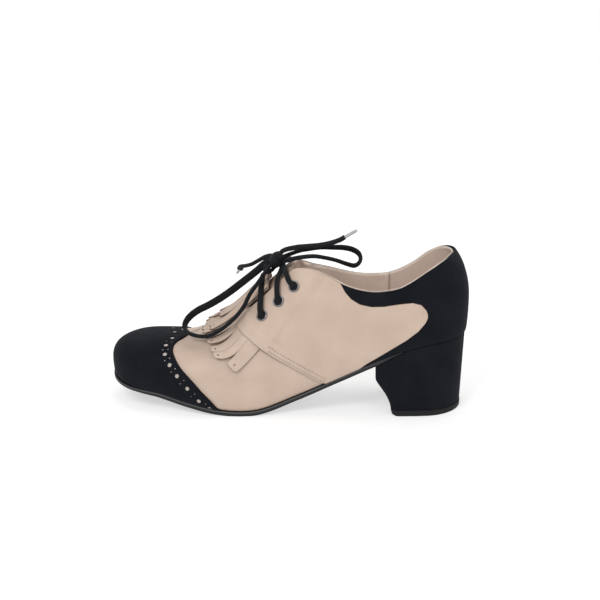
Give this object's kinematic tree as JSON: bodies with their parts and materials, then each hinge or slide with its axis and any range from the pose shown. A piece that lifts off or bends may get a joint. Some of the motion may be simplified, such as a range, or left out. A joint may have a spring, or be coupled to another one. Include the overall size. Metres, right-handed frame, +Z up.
{
  "type": "heeled oxford shoe",
  "caption": "Left heeled lace-up shoe with a wing-tip toe, a fringed tongue cover, laced quarters, a heel counter and a covered block heel.",
  "frame": {"origin": "centre of the flat underside of the heel's top piece, on the ground", "axes": "+X from toe to heel, -Y towards the lateral side, +Z up; the toe points along -X"},
  "size_m": [0.2413, 0.0824, 0.1214],
  "materials": {
    "cream_leather": "smooth nude pink leather with soft creases",
    "black_nubuck": "black nubuck with a fine nap",
    "sole_black": "dark stained sole leather with a burnished edge",
    "rubber_black": "matt dark grey rubber",
    "lining_leather": "smooth rose beige lining leather",
    "eyelet_metal": "gunmetal plated rings",
    "lace_black": "flat woven black lace",
    "aglet_grey": "silver grey plastic film"
  },
  "bodies": {
    "root": {"upper": "cream_leather", "quarter_lateral": "cream_leather", "quarter_medial": "cream_leather", "kiltie": "cream_leather", "tongue": "cream_leather", "toe_cap": "black_nubuck", "counter": "black_nubuck", "heel": "black_nubuck", "outsole": "sole_black", "top_piece": "rubber_black", "insole": "lining_leather", "eyelet_lateral_1": "eyelet_metal", "eyelet_lateral_2": "eyelet_metal", "eyelet_lateral_3": "eyelet_metal", "eyelet_medial_1": "eyelet_metal", "eyelet_medial_2": "eyelet_metal", "eyelet_medial_3": "eyelet_metal", "lace_bar_front": "lace_black", "lace_crossing": "lace_black", "lace_knot": "lace_black", "lace_loop_toe": "lace_black", "lace_loop_heel": "lace_black", "lace_end_toe": "lace_black", "lace_end_heel": "lace_black", "aglet_toe": "aglet_grey", "aglet_heel": "aglet_grey"}
  },
  "joints": []
}
